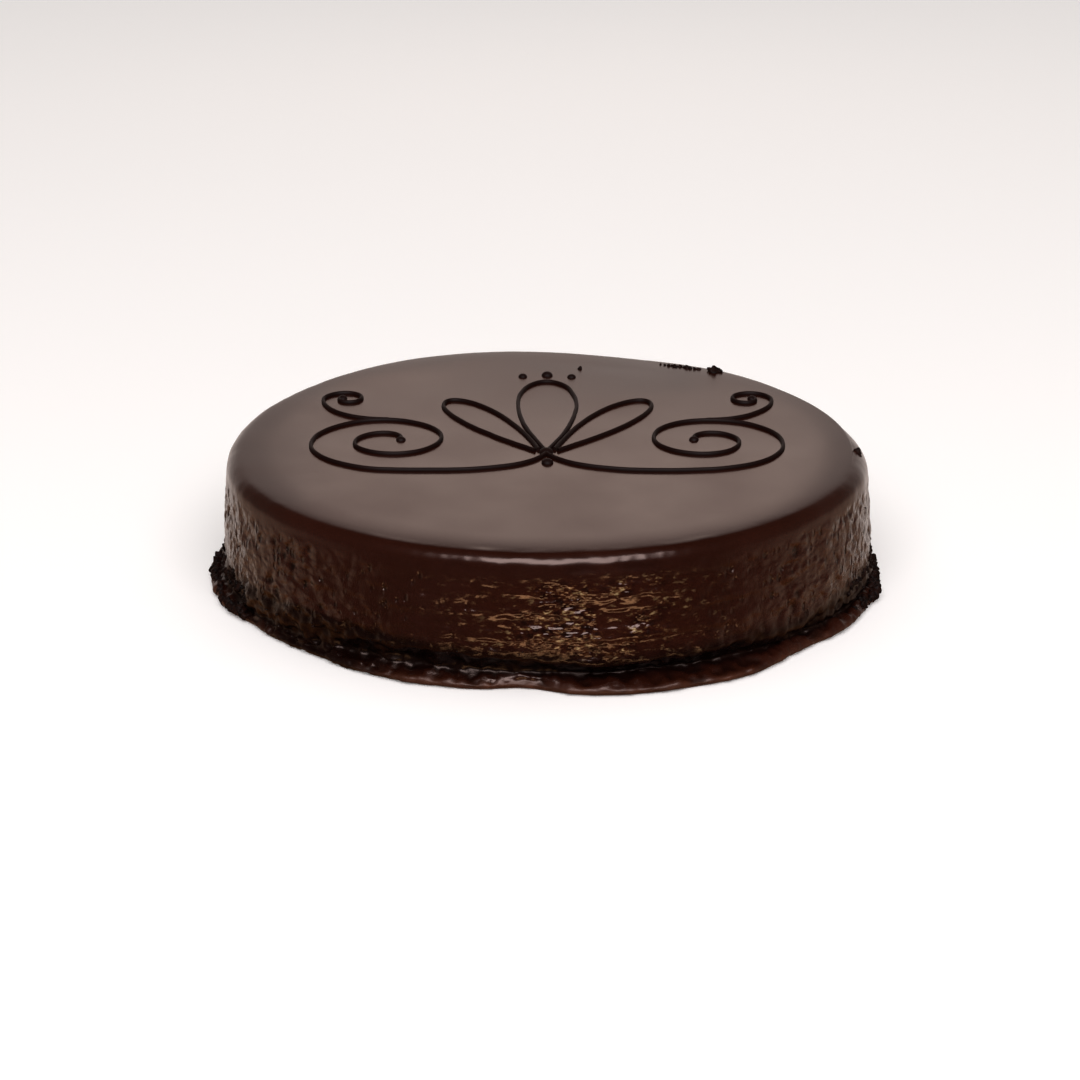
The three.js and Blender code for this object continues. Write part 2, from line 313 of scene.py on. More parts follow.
# Left of the front, dark lumps of glaze are heaped against the side: where their upper edge lies and
# starts to fade, in metres, and how lumpy they are.
HEAP_TOP = (0.022, 0.017)
HEAP_LUMPS = 0.8
# Ledges where one sheet of glaze ends over another: height, how far each stands out, and how far up
# the side it fades, in millimetres.
LEDGES = [(22.4, 0.8, 8.0), (31.0, 0.5, 6.0), (38.0, 0.35, 5.0)]
LEDGE_EDGE = 0.6  # half of the height in which a ledge drops away
LEDGE_WANDER_SPACING = 34  # how far apart a ledge's rises and dips lie
LEDGE_SPACING = 50  # how far apart the places lie where a ledge shows
LEDGE_SHOWN = (0.4, 0.52)  # where a ledge begins to show and is full, by the noise that places it
NOISE_REACH = (0.25, 0.75)  # what detailed noise mostly lies between
PLAIN_NOISE_REACH = (0.3, 0.7)


def add_heap(tree, carried):
    """How much each point belongs to the heaped lumps, 0 to 1."""
    level = node(tree, "ShaderNodeSeparateXYZ", {0: node(tree, "GeometryNodeInputPosition")}).outputs["Z"]
    low = {0: level, 1: HEAP_TOP[0], 2: HEAP_TOP[1]}
    low = node(tree, "ShaderNodeMapRange", low, interpolation_type="SMOOTHSTEP")
    return node(tree, "ShaderNodeMath", {0: low, 1: carried["heaped"]}, operation="MULTIPLY")


def add_relief(tree, given, carried):
    """Height of the relief over the even surface, in millimetres."""
    position = node(tree, "GeometryNodeInputPosition")
    near = node(tree, "ShaderNodeMapRange", {0: carried["front"], 3: LEAST_BRUSHED, 4: 1})
    brushed = node(tree, "ShaderNodeMath", {0: near, 1: carried["streaky"]}, operation="MULTIPLY")
    wavering = node(tree, "ShaderNodeMath", {0: near, 1: carried["rim"]}, operation="MULTIPLY")
    far = node(tree, "ShaderNodeMath", {0: 1.0, 1: carried["front"]}, operation="SUBTRACT")
    hanging = node(tree, "ShaderNodeMath", {0: far, 1: carried["pitted"]}, operation="MULTIPLY")
    lumps = {0: carried["heap"], 1: HEAP_LUMPS, 2: carried["lumpy"]}
    lumps = node(tree, "ShaderNodeMath", lumps, operation="MULTIPLY_ADD")
    where_it_is = {**carried, "lumpy": lumps, "brushed": brushed, "wavering": wavering, "hanging": hanging}
    height = 0.0
    for label, _, _, closer, where in RELIEF:
        stretched = {0: position, 1: (1, 1, closer)}
        stretched = node(tree, "ShaderNodeVectorMath", stretched, operation="MULTIPLY")
        scale = node(tree, "ShaderNodeMath", {0: 1 / MM, 1: given[label + " spacing"]}, operation="DIVIDE")
        inputs = {"Vector": stretched, "Scale": scale, "W": given["Seed"], "Detail": 1}
        noise = node(tree, "ShaderNodeTexNoise", inputs, noise_dimensions="4D", label=label)
        signed = {0: noise, 1: NOISE_REACH[0], 2: NOISE_REACH[1], 3: -1, 4: 1}
        signed = node(tree, "ShaderNodeMapRange", signed, clamp=False)
        signed = {0: signed, 1: given[label + " height"]}
        signed = node(tree, "ShaderNodeMath", signed, operation="MULTIPLY")
        inputs = {0: signed, 1: where_it_is[where], 2: height}
        height = node(tree, "ShaderNodeMath", inputs, operation="MULTIPLY_ADD")

    level = node(tree, "ShaderNodeSeparateXYZ", {0: position}).outputs["Z"]
    scale = 1 / (LEDGE_WANDER_SPACING * MM)
    inputs = {"Vector": position, "Scale": scale, "W": given["Seed"], "Detail": 3}
    wander = node(tree, "ShaderNodeTexNoise", inputs, noise_dimensions="4D")
    drift = node(tree, "ShaderNodeMapRange", {0: wander, 3: given["Ledge wander"], 4: 0.0})
    level = node(tree, "ShaderNodeMath", {0: level, 1: 1 / MM, 2: drift}, operation="MULTIPLY_ADD")
    for step, (ledge, stand, fade) in enumerate(LEDGES):
        inputs = {"Vector": position, "Scale": 1 / (LEDGE_SPACING * MM), "W": float(step)}
        patches = node(tree, "ShaderNodeTexNoise", inputs, noise_dimensions="4D")
        foot, crest = ledge - LEDGE_EDGE, ledge + LEDGE_EDGE
        rise = {0: level, 1: foot, 2: crest}
        rise = node(tree, "ShaderNodeMapRange", rise, interpolation_type="SMOOTHSTEP")
        wane = {0: level, 1: crest, 2: ledge + fade, 3: 1, 4: 0}
        wane = node(tree, "ShaderNodeMapRange", wane, interpolation_type="SMOOTHSTEP")
        shown = {0: patches, 1: LEDGE_SHOWN[0], 2: LEDGE_SHOWN[1], 3: 0, 4: stand}
        shown = node(tree, "ShaderNodeMapRange", shown)
        shape = node(tree, "ShaderNodeMath", {0: rise, 1: wane}, operation="MULTIPLY")
        shape = node(tree, "ShaderNodeMath", {0: shape, 1: shown}, operation="MULTIPLY")
        inputs = {0: shape, 1: brushed, 2: height}
        height = node(tree, "ShaderNodeMath", inputs, operation="MULTIPLY_ADD")
    return height


PIT_REACH = (0.36, 0.2)  # where a pit starts and where its bottom is, in spacings from its middle
PIT_STRETCH = 0.85  # pits are a little taller than wide
PITS_END = (0.05, 0.4)  # how near the front the pits begin to fade and are gone


def add_pits(tree, given, carried):
    """How far into a pit each point lies, 0 to 1."""
    position = node(tree, "GeometryNodeInputPosition")
    stretched = {0: position, 1: (1, 1, PIT_STRETCH)}
    stretched = node(tree, "ShaderNodeVectorMath", stretched, operation="MULTIPLY")
    scale = node(tree, "ShaderNodeMath", {0: 1 / MM, 1: given["Pit spacing"]}, operation="DIVIDE")
    inputs = {"Vector": stretched, "W": given["Seed"], "Scale": scale}
    pits = node(tree, "ShaderNodeTexVoronoi", inputs, voronoi_dimensions="4D")
    hollow = {0: pits, 1: PIT_REACH[0], 2: PIT_REACH[1], 3: 0, 4: 1}
    hollow = node(tree, "ShaderNodeMapRange", hollow, interpolation_type="SMOOTHSTEP")
    far = {0: carried["front"], 1: PITS_END[0], 2: PITS_END[1], 3: 1, 4: 0}
    far = node(tree, "ShaderNodeMapRange", far)
    hollow = node(tree, "ShaderNodeMath", {0: hollow, 1: far}, operation="MULTIPLY")
    return node(tree, "ShaderNodeMath", {0: hollow, 1: carried["pitted"]}, operation="MULTIPLY")


def build_body(tree, given):
    """Sweep the section round the ring, move each point to its uneven place, and add the relief."""
    line = node(tree, "GeometryNodeMeshToCurve", {0: given["Start"]})
    line = node(tree, "GeometryNodeCurveSplineType", {"Curve": line}, spline_type="CATMULL_ROM")
    line = node(tree, "GeometryNodeSetSplineResolution", {0: line, "Resolution": given["Rows in a span"]})
    circle = node(tree, "GeometryNodeObjectInfo", {"Object": given["Ring"]})
    rail = node(tree, "GeometryNodeMeshToCurve", {0: circle.outputs["Geometry"]})
    skin = node(tree, "GeometryNodeCurveToMesh", {"Curve": rail, "Profile Curve": line})

    carried = {}
    for label in ("place", "out", "up", "turn_in", "facing", "out_round", "up_round"):
        inputs = {"Name": label}
        carried[label] = node(tree, "GeometryNodeInputNamedAttribute", inputs, data_type="FLOAT_VECTOR")
    for label in ("soft", "front", "heaped", *SHARES):
        carried[label] = node(tree, "GeometryNodeInputNamedAttribute", {"Name": label}, data_type="FLOAT")

    moves = []
    for ring_part, round_part in (("out", "out_round"), ("up", "up_round")):
        inputs = {0: carried[ring_part], 1: carried[round_part]}
        moves.append(node(tree, "ShaderNodeVectorMath", inputs, operation="DOT_PRODUCT").outputs["Value"])
    place = node(tree, "ShaderNodeSeparateXYZ", {0: carried["place"]})
    turn_in = node(tree, "ShaderNodeSeparateXYZ", {0: carried["turn_in"]})
    values = []
    for axis, turned, move in ((0, 0, moves[0]), (2, 1, moves[1])):
        inputs = {0: turn_in.outputs[turned], 1: carried["soft"], 2: place.outputs[axis]}
        value = node(tree, "ShaderNodeMath", inputs, operation="MULTIPLY_ADD")
        value = node(tree, "ShaderNodeMath", {0: value, 1: move}, operation="ADD")
        values.append(node(tree, "ShaderNodeMath", {0: value, 1: 0.0}, operation="MAXIMUM"))
    flat = node(tree, "ShaderNodeVectorMath", {0: carried["facing"], "Scale": values[0]}, operation="SCALE")
    upright = node(tree, "ShaderNodeCombineXYZ", {"Z": values[1]})
    spot = node(tree, "ShaderNodeVectorMath", {0: flat, 1: upright}, operation="ADD")
    spot = node(tree, "ShaderNodeVectorMath", {0: spot, "Scale": given["Millimetre"]}, operation="SCALE")
    skin = node(tree, "GeometryNodeSetPosition", {"Geometry": skin, "Position": spot})
    skin = node(tree, "GeometryNodeMergeByDistance", {"Geometry": skin, "Distance": WELD * MM})

    # The underside: the lowest edge is drawn in to the middle, and its points become one.
    lowest = node(tree, "GeometryNodeInputMeshEdgeNeighbors")
    lowest = node(tree, "FunctionNodeCompare", {2: lowest, 3: 1}, data_type="INT", operation="EQUAL")
    base = {"Mesh": skin, "Selection": lowest, "Offset Scale": 0.0}
    base = node(tree, "GeometryNodeExtrudeMesh", base, mode="EDGES")
    middle = node(tree, "ShaderNodeCombineXYZ")
    middle = {"Geometry": base, "Selection": base.outputs["Top"], "Position": middle}
    skin = node(tree, "GeometryNodeSetPosition", middle)
    skin = node(tree, "GeometryNodeMergeByDistance", {"Geometry": skin, "Distance": WELD * MM})
    skin = node(tree, "GeometryNodeFlipFaces", {"Mesh": skin})

    carried["heap"] = add_heap(tree, carried)
    relief = add_relief(tree, given, carried)
    pits = add_pits(tree, given, carried)
    for label, value in (("relief", relief), ("pit", pits), ("heap", carried["heap"])):
        stored = {"Geometry": skin, "Name": label, "Value": value}
        skin = node(tree, "GeometryNodeStoreNamedAttribute", stored, data_type="FLOAT", domain="POINT")
    depth = node(tree, "ShaderNodeMath", {0: given["Pit depth"], 1: -1}, operation="MULTIPLY")
    relief = node(tree, "ShaderNodeMath", {0: pits, 1: depth, 2: relief}, operation="MULTIPLY_ADD")
    lift = node(tree, "ShaderNodeMath", {0: relief, 1: given["Millimetre"]}, operation="MULTIPLY")
    normal = node(tree, "GeometryNodeInputNormal")
    offset = node(tree, "ShaderNodeVectorMath", {0: normal, "Scale": lift}, operation="SCALE")
    skin = node(tree, "GeometryNodeSetPosition", {"Geometry": skin, "Offset": offset})
    # Nothing sinks below the base.
    moved = node(tree, "GeometryNodeInputPosition")
    resting = node(tree, "ShaderNodeVectorMath", {0: moved, 1: (-1, -1, 0)}, operation="MAXIMUM")
    return node(tree, "GeometryNodeSetPosition", {"Geometry": skin, "Position": resting})


def make_body(finish):
    rings = section()
    points = [(row["place"][0] * MM, 0, row["place"][2] * MM) for row in rings]
    edges = [(i, i + 1) for i in range(len(rings) - 1)]
    columns = {label: [row[label] for row in rings] for label in rings[0]}
    start = start_mesh("section", points, edges, columns)

    steps = [round_step(TURN * step / COLUMNS) for step in range(COLUMNS)]
    points = [Vector(step["facing"]) * SIDE_RADIUS * MM for step in steps]
    edges = [(i, (i + 1) % COLUMNS) for i in range(COLUMNS)]
    columns = {label: [step[label] for step in steps] for label in steps[0]}
    rail = placed("ring", start_mesh("ring", points, edges, columns))

    sizes = {
        "Ring": rail,
        "Rows in a span": ROWS_IN_A_SPAN,
        "Millimetre": MM,
        "Ledge wander": 3.4,
        "Pit spacing": 6.5,
        "Pit depth": 0.65,
        "Seed": float(SEED),
        "Finish": finish,
    }
    for label, spacing, height, _, _ in RELIEF:
        sizes[label + " spacing"] = spacing
        sizes[label + " height"] = height
    piece = grown("glazed_torte", start, build_body, sizes)
    bpy.data.objects.remove(rail)
    return piece


# ---------------------------- the piped scroll

STROKE_STEP = 0.9  # length of one piece of the piped line
BEAD_FLATNESS = 0.7  # height of the line over its width, once it has settled
BEAD_SIDES = 12
PRESSURE = (0.5, 0.92)  # thinnest and thickest line, as shares of the full bead
END_SWELL = 1.25  # how much thicker the line gets at its two ends
END_SHARE = 0.012  # of the line's length, in which it does
DROP_FLATNESS = 0.75  # height of a drop over its width
DROP_FACES = (20, 12)  # segments and rings of a drop
LEAST_DROP = 0.1  # a point that carries less than this is no drop
PETAL_WIDENING = 0.65  # makes the loop of a petal as wide as it says
VOLUTE_EASE = 0.9  # below 1, a volute winds in faster at first


def lead(*corners):
    """A cubic curve through its first and last corner, as a function of 0 to 1."""

    def point(t):
        weights = ((1 - t) ** 3, 3 * t * (1 - t) ** 2, 3 * t * t * (1 - t), t**3)
        return tuple(sum(w * corner[axis] for w, corner in zip(weights, corners)) for axis in (0, 1))

    return point


def volute(centre, outer, inner, start, sweep):
    """A spiral that winds in from its outer radius. Angles in degrees."""

    def point(t):
        angle = math.radians(start + sweep * t)
        radius = outer + (inner - outer) * t**VOLUTE_EASE
        return centre[0] + radius * math.cos(angle), centre[1] + radius * math.sin(angle)

    return point


def petal(foot, landing, lean, length, width):
    """A teardrop loop from its foot, out over its tip and back down beside the foot."""

    def point(t):
        turn = TURN * t
        side = PETAL_WIDENING * width * math.sin(turn) * math.sin(turn / 2)
        along = length * (1 - math.cos(turn)) / 2
        turned = math.radians(lean)
        x = side * math.cos(turned) + along * math.sin(turned)
        y = along * math.cos(turned) - side * math.sin(turned)
        return x + foot[0] + (landing[0] - foot[0]) * t, y + foot[1] + (landing[1] - foot[1]) * t

    return point


MIDDLE_PETAL = petal((0.6, -12), (-0.6, -12), 0, 86, 23)
# The right half of the scroll, one list for each stroke; the left half mirrors it.
RIGHT_STROKES = [
    [lead((0, -16), (10, -36), (34, -36), (58, -34)), volute((61, 0), 34, 5, -93, 620)],
    [lead((62, 25), (77, 25), (89, 38), (89, 51)), volute((79.5, 51), 9.5, 2.4, 0, 400)],
    [petal((4.4, -12.6), (3, -11.4), 30, 70, 16)],
]
# Drops of chocolate set beside the lines: x, y and width.
DROPS = [(-10, 82, 3.6), (0, 84, 4.6), (10, 82, 3.6), (0, -26, 4.6), (0, -14, 5.4)]
CURVE_POINTS = 160  # points on each curve before the line is laid


def build_scroll(tree, given):
    """Lay the strokes and the drops on the glaze, and give them their thickness."""
    line = node(tree, "GeometryNodeMeshToCurve", {0: given["Start"]})
    line = node(tree, "GeometryNodeResampleCurve", {"Curve": line, "Length": given["Step"]}, mode="LENGTH")
    marks = node(tree, "GeometryNodeInputNamedAttribute", {"Name": "drop"}, data_type="FLOAT")
    is_drop = {0: marks, 1: LEAST_DROP}
    is_drop = node(tree, "FunctionNodeCompare", is_drop, data_type="FLOAT", operation="GREATER_THAN")
    points = node(tree, "GeometryNodeMeshToPoints", {"Mesh": given["Start"], "Selection": is_drop})

    ground = node(tree, "GeometryNodeObjectInfo", {"Object": given["Body"]}).outputs["Geometry"]
    position = node(tree, "GeometryNodeInputPosition")
    inputs = {"Vector": position, "Scale": given["Waver"], "W": given["Seed"]}
    hand = node(tree, "ShaderNodeTexNoise", inputs, noise_dimensions="4D")
    waver = {0: hand.outputs["Color"], 1: (0.5, 0.5, 0.5)}
    waver = node(tree, "ShaderNodeVectorMath", waver, operation="SUBTRACT")
    waver = {0: waver, "Scale": given["Unsteadiness"]}
    waver = node(tree, "ShaderNodeVectorMath", waver, operation="SCALE")
    above = node(tree, "ShaderNodeVectorMath", {0: position, 1: waver}, operation="ADD")
    inputs = {"Vector": position, "Scale": given["Tremble"], "W": given["Seed"]}
    tremble = node(tree, "ShaderNodeTexNoise", inputs, noise_dimensions="4D")
    above = node(tree, "ShaderNodeVectorMath", {0: above, 1: (0, 0, 2 * HEIGHT * MM)}, operation="ADD")
    down = {"Source Position": above, "Ray Direction": (0, 0, -1), "Ray Length": 1.0}
    down["Target Geometry"] = ground
    landed = node(tree, "GeometryNodeRaycast", down).outputs["Hit Position"]

    rest = node(tree, "ShaderNodeCombineXYZ", {"Z": given["Line height"]})
    line_place = node(tree, "ShaderNodeVectorMath", {0: landed, 1: rest}, operation="ADD")
    line = node(tree, "GeometryNodeSetPosition", {"Geometry": line, "Position": line_place})
    pressure = dict(enumerate((tremble, *PLAIN_NOISE_REACH, *PRESSURE)))
    pressure = node(tree, "ShaderNodeMapRange", pressure)
    along = node(tree, "GeometryNodeSplineParameter")
    from_middle = {0: along.outputs["Factor"], 1: 0.5}
    from_middle = node(tree, "ShaderNodeMath", from_middle, operation="SUBTRACT")
    from_middle = node(tree, "ShaderNodeMath", {0: from_middle}, operation="ABSOLUTE")
    swell = {0: from_middle, 1: 0.5 - END_SHARE, 2: 0.5, 3: 1.0, 4: END_SWELL}
    swell = node(tree, "ShaderNodeMapRange", swell)
    radius = node(tree, "ShaderNodeMath", {0: pressure, 1: swell}, operation="MULTIPLY")
    line = node(tree, "GeometryNodeSetCurveRadius", {"Curve": line, "Radius": radius})
    line = node(tree, "GeometryNodeSetCurveNormal", {"Curve": line}, mode="Z_UP")
    bead = {"Resolution": BEAD_SIDES, "Radius": given["Half bead"]}
    bead = node(tree, "GeometryNodeCurvePrimitiveCircle", bead)
    bead = node(tree, "GeometryNodeTransform", {"Geometry": bead, "Scale": (BEAD_FLATNESS, 1, 1)})
    beads = {"Curve": line, "Profile Curve": bead, "Fill Caps": True}
    beads = node(tree, "GeometryNodeCurveToMesh", beads)

    points = node(tree, "GeometryNodeSetPosition", {"Geometry": points, "Position": landed})
    ball = {"Segments": DROP_FACES[0], "Rings": DROP_FACES[1], "Radius": 0.5 * MM}
    ball = node(tree, "GeometryNodeMeshUVSphere", ball)
    flatter = node(tree, "ShaderNodeMath", {0: marks, 1: DROP_FLATNESS}, operation="MULTIPLY")
    size = node(tree, "ShaderNodeCombineXYZ", {0: marks, 1: marks, 2: flatter})
    drops = node(tree, "GeometryNodeInstanceOnPoints", {"Points": points, "Instance": ball, "Scale": size})
    whole = node(tree, "GeometryNodeJoinGeometry", {0: beads})
    tree.links.new(drops.outputs[0], whole.inputs[0])
    return whole


def make_scroll(body, finish):
    points, edges, drops = [], [], []

    def add_stroke(curves, mirror):
        first = len(points)
        for curve in curves:
            skip = 1 if len(points) > first else 0
            for step in range(skip, CURVE_POINTS):
                x, y = curve(step / (CURVE_POINTS - 1))
                points.append((mirror * x * MM, y * MM, 0))
                drops.append(0.0)
        edges.extend((i, i + 1) for i in range(first, len(points) - 1))
        if len(curves) > 1:
            drops[-1] = float(BLOB)

    add_stroke([MIDDLE_PETAL], 1)
    for mirror in (1, -1):
        for curves in RIGHT_STROKES:
            add_stroke(curves, mirror)
    for x, y, width in DROPS:
        points.append((x * MM, y * MM, 0))
        drops.append(float(width))

    sizes = {
        "Body": body,
        "Step": STROKE_STEP * MM,
        "Half bead": BEAD / 2 * MM,
        "Line height": (BEAD_FLATNESS * BEAD / 2 - BEAD_SUNK) * MM,
        "Waver": 1 / (26 * MM),
        "Tremble": 1 / (9 * MM),
        "Unsteadiness": 2.2 * MM,
        "Seed": float(SEED),
        "Finish": finish,
    }
    return grown("piped_scroll", start_mesh("strokes", points, edges, {"drop": drops}), build_scroll, sizes)


# ---------------------------- crumbs

# Crumbs on the rim: direction in degrees, distance from the axis and size.
RIM_CRUMBS = [
    (52.3, 115.8, 2.6),
    (53.1, 115.6, 4.6),
    (54.2, 115.6, 3.2),
    (56.9, 114.4, 1.6),
    (57.8, 114, 2.2),
    (58.7, 113.8, 1.8),
    (59.6, 114.1, 2.2),
    (60.4, 113.9, 1.4),
    (61.3, 114.2, 1.8),
    (62.2, 114, 2.4),
    (63.1, 114.3, 1.6),
    (64, 114.1, 2),
    (64.9, 114.4, 1.4),
    (65.8, 114.2, 1.2),
    (82, 96.7, 2),
    (-3.4, 120.9, 3.6),
    (-4.8, 121.2, 2.2),
]
# Piles on the choked groove: direction of the middle, spread in degrees, lowest and highest crumb,
# how many, and their smallest and largest size.
PILES = [(-11, 28, 0, 14, 130, 1.4, 4.4), (192, 30, 0, 14, 140, 1.4, 4.6)]
# Loose specks higher up the side, and over the heap left of the front.
SPECKS = [
    (180, 50, 24, 44, 12, 0.7, 1.3),
    (0, 50, 24, 44, 8, 0.7, 1.2),
    (-128, 70, 9.5, 17, 26, 0.7, 1.9),
]
CRUMB_SHAPE = ((0.75, 0.75, 0.6), (1.3, 1.2, 1.0))  # least and most that a crumb is stretched each way


def build_crumbs(tree, given):
    """Set a rough little stone on the glaze at each point."""
    ground = node(tree, "GeometryNodeObjectInfo", {"Object": given["Body"]}).outputs["Geometry"]
    nearest = node(tree, "GeometryNodeProximity", {0: ground}, target_element="FACES").outputs["Position"]
    points = node(tree, "GeometryNodeMeshToPoints", {"Mesh": given["Start"]})
    size = node(tree, "GeometryNodeInputNamedAttribute", {"Name": "size"}, data_type="FLOAT")
    outward = node(tree, "ShaderNodeVectorMath", {0: nearest, 1: (1, 1, 0)}, operation="MULTIPLY")
    outward = node(tree, "ShaderNodeVectorMath", {0: outward}, operation="NORMALIZE")
    sunk = node(tree, "ShaderNodeMath", {0: size, 1: given["Sunk"]}, operation="MULTIPLY")
    sunk = node(tree, "ShaderNodeVectorMath", {0: outward, "Scale": sunk}, operation="SCALE")
    spot = node(tree, "ShaderNodeVectorMath", {0: nearest, 1: sunk}, operation="SUBTRACT")
    lowest = node(tree, "ShaderNodeMath", {0: size, 1: given["Clearance"]}, operation="MULTIPLY")
    lowest = node(tree, "ShaderNodeCombineXYZ", {0: -1.0, 1: -1.0, 2: lowest})
    spot = node(tree, "ShaderNodeVectorMath", {0: spot, 1: lowest}, operation="MAXIMUM")
    points = node(tree, "GeometryNodeSetPosition", {"Geometry": points, "Position": spot})
    shape = {0: CRUMB_SHAPE[0], 1: CRUMB_SHAPE[1], "Seed": given["Seed"]}
    shape = node(tree, "FunctionNodeRandomValue", shape, data_type="FLOAT_VECTOR")
    shape = node(tree, "ShaderNodeVectorMath", {0: shape, "Scale": size}, operation="SCALE")
    turned = {0: (0, 0, 0), 1: (TURN, TURN, TURN), "Seed": given["Seed"]}
    turned = node(tree, "FunctionNodeRandomValue", turned, data_type="FLOAT_VECTOR")
    stone = node(tree, "GeometryNodeMeshIcoSphere", {"Radius": 0.5 * MM, "Subdivisions": 3})
    stones = {"Points": points, "Instance": stone, "Rotation": turned, "Scale": shape}
    stones = node(tree, "GeometryNodeInstanceOnPoints", stones)
    stones = node(tree, "GeometryNodeRealizeInstances", {0: stones})
    rough = node(tree, "ShaderNodeTexNoise", {"Scale": given["Roughness scale"], "Detail": 2})
    depth = node(tree, "ShaderNodeMapRange", dict(enumerate((rough, *PLAIN_NOISE_REACH, -1, 1))))
    depth = node(tree, "ShaderNodeMath", {0: depth, 1: given["Roughness"]}, operation="MULTIPLY")
    depth = node(tree, "ShaderNodeMath", {0: depth, 1: size}, operation="MULTIPLY")
    normal = node(tree, "GeometryNodeInputNormal")
    offset = node(tree, "ShaderNodeVectorMath", {0: normal, "Scale": depth}, operation="SCALE")
    return node(tree, "GeometryNodeSetPosition", {"Geometry": stones, "Offset": offset})


def make_crumbs(body, finish):
    draw = random.Random(SEED)
    points, sizes_of = [], []
    for direction, distance, size in RIM_CRUMBS:
        turned = math.radians(direction)
        points.append((distance * math.cos(turned) * MM, distance * math.sin(turned) * MM, HEIGHT * MM))
        sizes_of.append(float(size))
    for middle, spread, low, high, count, smallest, largest in PILES + SPECKS:
        for _ in range(count):
            angle = math.radians(middle + spread * (draw.random() - 0.5))
            height = low + (high - low) * draw.random()
            distance = FOOT_RADIUS + outline(angle)
            points.append((distance * math.cos(angle) * MM, distance * math.sin(angle) * MM, height * MM))
            sizes_of.append(smallest + (largest - smallest) * draw.random() ** 2)
    sizes = {
        "Body": body,
        "Roughness scale": 1 / (1.6 * MM),
        "Roughness": 0.22 * MM,
        "Sunk": 0.3 * MM,
        "Clearance": 0.8 * MM,
        "Seed": SEED,
        "Finish": finish,
    }
    return grown("crumbs", start_mesh("crumb_places", points, [], {"size": sizes_of}), build_crumbs, sizes)


# ---------------------------- finishes


def new_finish(name, **values):
    """A material with its plain values set on the shader's own sockets."""
    material = bpy.data.materials.new(name)
    material.use_nodes = True
    shader = material.node_tree.nodes["Principled BSDF"]
    for label, value in values.items():
        shader.inputs[label.replace("_", " ")].default_value = value
    return material, material.node_tree, shader


# Patterns in the glaze: name, how far apart its marks lie in millimetres, how much closer they lie up
# the side than round it, and its detail and roughness. The tone changes slowly over the whole torte.
# Dragged places, and hair-like ridges in them, are what the spatula left, and streaks there place
# black glaze and painted golden reflections and glints. The film at the foot lies in patches. The side
# has dimples. Grain and hair are coarser than the real ones, to show.
PATTERNS = [
    ("tone", 38, 1, 3, 0.5),
    ("drag", 13, 1, 1, 0.5),
    ("streak", 3.6, 2.2, 4, 0.62),
    ("hair", 3.4, 2.2, 1, 0.5),
    ("patch", 11, 1, 3, 0.5),
    ("dimple", 6.2, 1.5, 1.6, 0.45),
    ("grain", 1.3, 1, 2, 0.5),
]
# How deep each relief in the skin is, in millimetres.
GRAIN_DEPTH = 0.25
HAIR_DEPTH = 0.75
DIMPLE_DEPTH = 1.8
BUBBLE_DEPTH = 0.6
BUBBLE_SPACING = 3.4
BUBBLE_STRETCH = 0.6
# A bubble's black is painted shade in its hollow.
BUBBLE_REACH = (0.36, 0.16)  # its edge and where it is black, in spacings from its middle
# Shares that follow a mark or a pattern: name, what it follows, the levels between which it changes,
# and its values there. Hollow is painted shade in the dips of the relief, bubbly where bubbles burst,
# gloss is the roughness of the poured skin, and grainy how much its grain shows.
FOLLOWING = [
    ("middle", "front", 0.45, 0.95, 0, 1),
    ("away", "front", 0.1, 0.8, 1, 0),
    ("dragged", "drag", 0.42, 0.58, 0.2, 1),
    ("film", "patch", 0.35, 0.65, 0.25, 1),
    ("hollow", "relief", -0.1, -1, 0, 0.6),
    ("bubbly", "patch", 0.42, 0.52, 0, 1),
    ("gloss", "tone", 0.3, 0.7, 0.19, 0.26),
    ("grainy", "lumpy", 0, 1, 0.02, 0.4),
]
RAGGED = 0.9  # how much the patches roughen the upper edge of the thick glaze
# Thick glaze is darkened; in the groove under the lip this darkening is painted shade.
POOLED_AND_SHADED_REACH = (0.6, 1.2, 0, 0.95)
# How much rougher the skin is where it was dragged, where it is a film, and where it is thick.
GLOSS_CHANGES = (-0.12, 0.28, 0.12)
SPECULAR = (0.5, 0.3)  # level on thin and on thick glaze
# Layers in the dragged glaze, the thick black glaze, then a painted golden reflection, then painted
# glints: where each begins and is full, by the streaks, how much of it shows at most, and its colour.
DRAGGED_LAYERS_AND_PAINTED_GLINTS = [(0.52, 0.4, 0.9, "#0b0302"), (0.53, 0.6, 0.3, "#553516"), (0.6, 0.68, 0.8, "#9a825c")]


